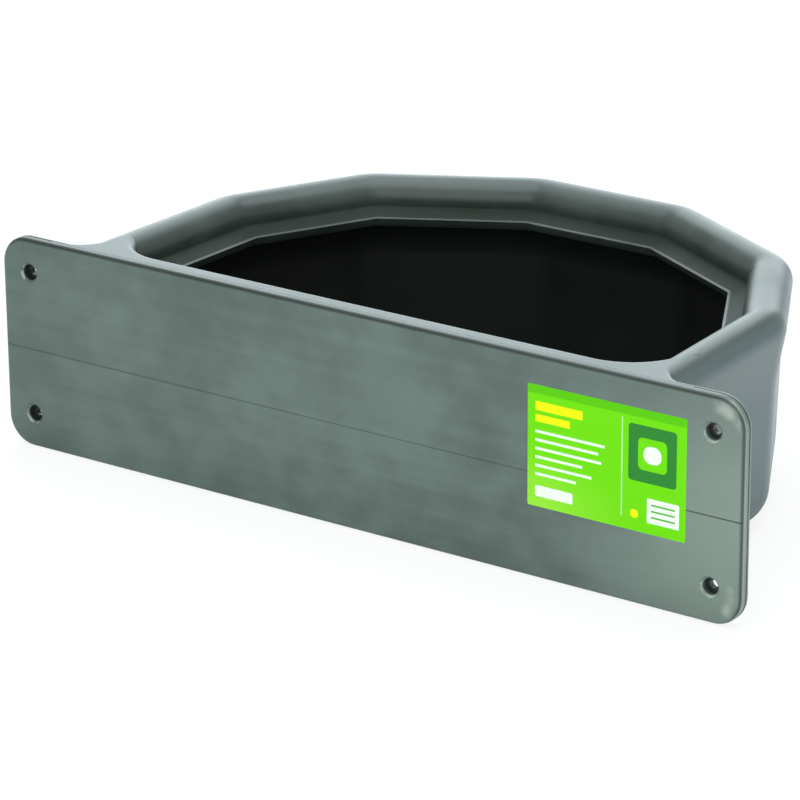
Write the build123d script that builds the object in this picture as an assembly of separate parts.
"""Half-round feed trough: a wall plate with a faceted half-round bowl in front of it.

Frame: millimetres, +Z up, X along the wall plate, the bowl towards -Y, the wall at +Y.
The origin is at the middle of the footprint, level with the underside.

Plan outlines are written as (x, reach) pairs, where reach is the distance out from the
wall face. An offset is the distance outwards from the lip, the inner edge of the rim.
"""
import os
from math import cos, radians, sin, sqrt, tan

from build123d import *

os.makedirs("parts", exist_ok=True)

# Wall plate: two sheets with the joint line between them round the edge
plate_length = 690.0
plate_height = 177.0
plate_corner = 24.0
wall_sheet = 7.0
back_sheet = 5.0
plate_edge_round = 3.5
joint_line = 0.8

# Mould seam, a shallow groove that runs level across the wall face
seam_height = 84.0
seam_width = 1.0
seam_depth = 0.3

# Fixing holes, wide through the wall sheet and narrow through the back sheet
hole_radius = 6.5
screw_radius = 3.5
hole_flare = 2.2
hole_end_inset = 27.0
hole_edge_inset = 28.5

# Plan of the lip: straight runs from the middle of the front to the wall
lip_reach = 335.0
front_run = 123.0
shoulder_run = 127.0
side_run = 113.0
shoulder_angle = 28.5
side_angle = 62.3
tail_angle = 87.6
lip_corner = 8.0

# Rim: a hollow tube with a lip that leans in over the feed
tube_radius = 17.5
tube_skin = 4.0
tube_offset = 27.5
lip_drop = 28.0
lip_thickness = 8.0
lip_nose = 5.5
groove_drop = 20.0
shoulder_lean = 10.0

# Neck between the tube and the bowl's wall, measured from the top and from its foot
neck_height = 69.0
neck_land = 13.0

# Ledge and webs that carry the rim's top into the plate
ledge_reach = 24.5
ledge_depth = 12.0
web_run = 84.0
web_inner_roll = 9.0
web_outer_roll = 5.5
web_inner_round = 46.5
web_outer_round = 26.0
web_outer_run = 28.0
web_roll_clearance = 0.1

# Bowl
wall_offset = 40.0
bowl_wall = 5.0
bowl_draft = 2.0
bowl_bottom_round = 30.0

# Label, level with the wall face in a shallow recess
label_width = 137.0
label_height = 96.0
label_thickness = 0.3
label_corner = 1.5
label_end_inset = 48.0
label_top_inset = 23.0

# Places worked out from the sizes above
plate_thickness = wall_sheet + back_sheet
bowl_depth = lip_reach + tube_offset + tube_radius
wall_y = bowl_depth / 2
back_y = wall_y - plate_thickness
tube_z = plate_height - tube_radius
lip_top = plate_height - lip_drop
lip_underside = lip_top - lip_thickness
neck_low = plate_height - neck_height
groove_side = 0.8 * tube_radius
shoulder_side = tube_radius * cos(radians(shoulder_lean))
shoulder_drop = tube_radius * sin(radians(shoulder_lean))
label_x = label_end_inset + label_width / 2 - plate_length / 2
label_z = plate_height - label_top_inset - label_height / 2
overrun = 2 * plate_thickness
past_everything = 2 * plate_length


def plan_corners(offset):
    """The plan's corners moved outwards by offset, from the left end round to the right."""
    angles = [0.0, shoulder_angle, side_angle, tail_angle]
    runs = [front_run / 2, shoulder_run, side_run]
    x, reach = 0.0, lip_reach
    half = []
    for run, angle, next_angle in zip(runs, angles, angles[1:]):
        x += run * cos(radians(angle))
        reach -= run * sin(radians(angle))
        mean = radians((angle + next_angle) / 2)
        spread = offset / cos(radians((next_angle - angle) / 2))
        half.append((x + spread * sin(mean), reach + spread * cos(mean)))
    tail = radians(tail_angle)
    x_end, reach_end = half[-1]
    length = (reach_end + overrun) / sin(tail)
    half.append((x_end + length * cos(tail), -overrun))
    left = [(-px, pr) for px, pr in reversed(half)]
    return left + half


def plan_path(offset, radius, z):
    """A line through the plan's corners at height z, with the corners rounded."""
    points = [(px, wall_y - pr, z) for px, pr in plan_corners(offset)]
    return FilletPolyline(*points, radius=radius)


def plan_face(offset, radius, z):
    """The area inside the plan line, closed behind the wall face."""
    path = plan_path(offset, radius, z)
    closing = Line(path @ 1, path @ 0)
    return make_face(path.edges() + [closing.edge()])


def clear_of_plate(shape):
    """Cuts off whatever runs into the plate or past it."""
    cutter = Box(
        past_everything,
        past_everything,
        past_everything,
        align=(Align.CENTER, Align.MIN, Align.CENTER),
    )
    return shape - Pos(0, back_y, 0) * cutter


def plate_sheet(front_y, thickness, rounded_towards):
    """One sheet of the plate, its outer face edge rounded and its joint edge broken."""
    outline = RectangleRounded(plate_length, plate_height, plate_corner)
    plane = Plane(origin=(0, front_y, plate_height / 2), x_dir=(1, 0, 0), z_dir=(0, 1, 0))
    sheet = extrude(plane * outline, amount=thickness)
    ends = sheet.faces().sort_by(Axis.Y)
    outer = ends[-1] if rounded_towards > 0 else ends[0]
    sheet = fillet(outer.edges(), plate_edge_round)
    flat_faces = sheet.faces().filter_by(Plane.XZ).sort_by(Axis.Y)
    joint = flat_faces[0] if rounded_towards > 0 else flat_faces[-1]
    return chamfer(joint.edges(), joint_line)


def hole_places():
    """The centres of the four fixing holes as (x, z)."""
    x = plate_length / 2 - hole_end_inset
    low, high = hole_edge_inset, plate_height - hole_edge_inset
    return [(sx * x, z) for sx in (-1, 1) for z in (low, high)]


def drill(shape, radius):
    """Cuts the four fixing holes, each flared where it meets the wall face."""
    for x, z in hole_places():
        hole = Cylinder(radius, 2 * overrun, rotation=(90, 0, 0))
        flare = Cone(
            hole_radius + hole_flare,
            hole_radius,
            hole_flare,
            rotation=(90, 0, 0),
            align=(Align.CENTER, Align.CENTER, Align.MIN),
        )
        shape -= Pos(x, wall_y, z) * hole
        shape -= Pos(x, wall_y, z) * flare
    return shape


def rim_section():
    """The rim's outer section, drawn with x inwards from the tube's middle and y up."""

    def at(offset, z):
        return (tube_offset - offset, z - tube_z)

    tube = Circle(tube_radius)
    groove = at(tube_offset - groove_side, plate_height - groove_drop)
    lip = make_face(
        Polyline(
            groove,
            at(-lip_nose, lip_top),
            at(-lip_nose, lip_top - joint_line),
            at(0, lip_underside),
            at(tube_offset - tube_radius / 2, lip_underside),
            at(tube_offset, tube_z),
            close=True,
        )
    )
    wall_in = wall_offset - bowl_wall - neck_setback()
    wall_out = wall_offset - neck_setback()
    shoulder = at(tube_offset + shoulder_side, tube_z - shoulder_drop)
    foot = at(wall_out, neck_low)
    side = Spline(
        [shoulder, foot],
        tangents=[(shoulder_drop, -shoulder_side), (tan(radians(bowl_draft)), -1.0)],
    )
    neck_lines = side.edges() + Polyline(
        foot,
        at(wall_in, neck_low),
        at(wall_in + neck_land * tan(radians(bowl_draft)), neck_low + neck_land),
        at(tube_offset, tube_z),
        shoulder,
    ).edges()
    return tube + lip + make_face(neck_lines)


def neck_setback():
    """How far the drafted wall has come inwards where the neck meets it."""
    return (plate_height - neck_low) * tan(radians(bowl_draft))


def along_rim(section):
    """Sweeps a section, drawn round the tube's middle, along the rim."""
    path = plan_path(tube_offset, lip_corner + tube_offset, tube_z)
    start = Plane(origin=path @ 0, x_dir=(path % 0).cross(Vector(0, 0, 1)) * -1, z_dir=path % 0)
    return sweep(start * section, path=path)


def top_web():
    """The flat ledge behind the plate and the webs that lead the tube's crest into it."""
    end_x = plan_corners(tube_offset)[-1][0]
    crest_x = end_x - (overrun + plate_thickness) / tan(radians(tail_angle))
    inner_x = crest_x - web_inner_roll
    outer_x = crest_x + web_outer_roll
    ledge = Rectangle(2 * inner_x, ledge_reach)
    root = Rectangle(2 * (outer_x + web_outer_run), plate_thickness)
    plan = Pos(0, wall_y - ledge_reach / 2) * ledge + Pos(0, wall_y - plate_thickness / 2) * root
    for side in (-1, 1):
        band = Rectangle(outer_x - inner_x, web_run)
        plan += Pos(side * (inner_x + outer_x) / 2, wall_y - web_run / 2) * band
    for corner_x, reach, radius in (
        (inner_x, ledge_reach, web_inner_round),
        (outer_x, plate_thickness, web_outer_round),
    ):
        for side in (-1, 1):
            place = Vector(side * corner_x, wall_y - reach, 0)
            corner = plan.vertices().sort_by_distance(place)[0]
            plan = fillet(corner, radius)
    slab = extrude(Pos(0, 0, plate_height - ledge_depth) * plan, amount=ledge_depth)
    middle = Vector(0, wall_y - ledge_reach, plate_height)
    slab = roll_edge(slab, middle, web_inner_roll)
    for side in (-1, 1):
        outer_edge = Vector(side * outer_x, wall_y - (web_run + ledge_reach) / 2, plate_height)
        slab = roll_edge(slab, outer_edge, web_outer_roll)
    return clear_of_plate(slab)


def roll_edge(slab, place, roll):
    """Rounds the top edge at a place on the slab, and the edges that run on from it."""
    top = slab.faces().sort_by(Axis.Z)[-1]
    start = top.edges().sort_by_distance(place)[0]
    chain = [start]
    for edge in chain:
        for other in top.edges():
            if not any(other.is_same(known) for known in chain) and runs_on(edge, other):
                chain.append(other)
    return fillet(chain, roll - web_roll_clearance)


def runs_on(edge, other):
    """Whether one edge meets another without a corner."""
    for end in (0, 1):
        for other_end in (0, 1):
            apart = (edge @ end - other @ other_end).length
            bend = (edge % end).cross(other % other_end).length
            if apart < joint_line and bend < web_roll_clearance:
                return True
    return False


def bowl_block(inset, floor_z, bottom_round):
    """The bowl's outside, or with an inset its inside, as one solid block."""
    low_offset = wall_offset - plate_height * tan(radians(bowl_draft)) - inset
    base = plan_face(low_offset, lip_corner + low_offset, floor_z)
    block = extrude(base, amount=neck_low - floor_z, taper=-bowl_draft)
    floor_edges = block.faces().sort_by(Axis.Z)[0].edges().sort_by(Axis.Y)[:-1]
    return fillet(floor_edges, bottom_round)


# Label
label_plane = Plane(
    origin=(label_x, wall_y - label_thickness, label_z), x_dir=(-1, 0, 0), z_dir=(0, 1, 0)
)
label_outline = RectangleRounded(label_width, label_height, label_corner)
label = extrude(label_plane * label_outline, amount=label_thickness)

# Wall plate
seam_size = seam_width / sqrt(2)
seam = Pos(0, wall_y + seam_size / sqrt(2) - seam_depth, seam_height) * Box(
    past_everything, seam_size, seam_size, rotation=(45, 0, 0)
)
wall_panel = drill(plate_sheet(wall_y - wall_sheet, wall_sheet, 1), hole_radius) - label - seam
back_panel = drill(plate_sheet(back_y, back_sheet, -1), screw_radius)

# Bowl
bowl = bowl_block(0.0, 0.0, bowl_bottom_round)
bowl -= bowl_block(bowl_wall, bowl_wall, bowl_bottom_round - bowl_wall)
bowl = clear_of_plate(bowl)

# Rim
rim = along_rim(rim_section()) + top_web()
rim -= along_rim(Circle(tube_radius - tube_skin))
rim = clear_of_plate(rim)

pieces = {
    "wall_panel": wall_panel,
    "back_panel": back_panel,
    "bowl": bowl,
    "rim": rim,
    "label": label,
}
for name, piece in pieces.items():
    export_step(piece, f"parts/{name}.step")
    box = piece.bounding_box()
    print(name, round(piece.volume), box.min, box.max)
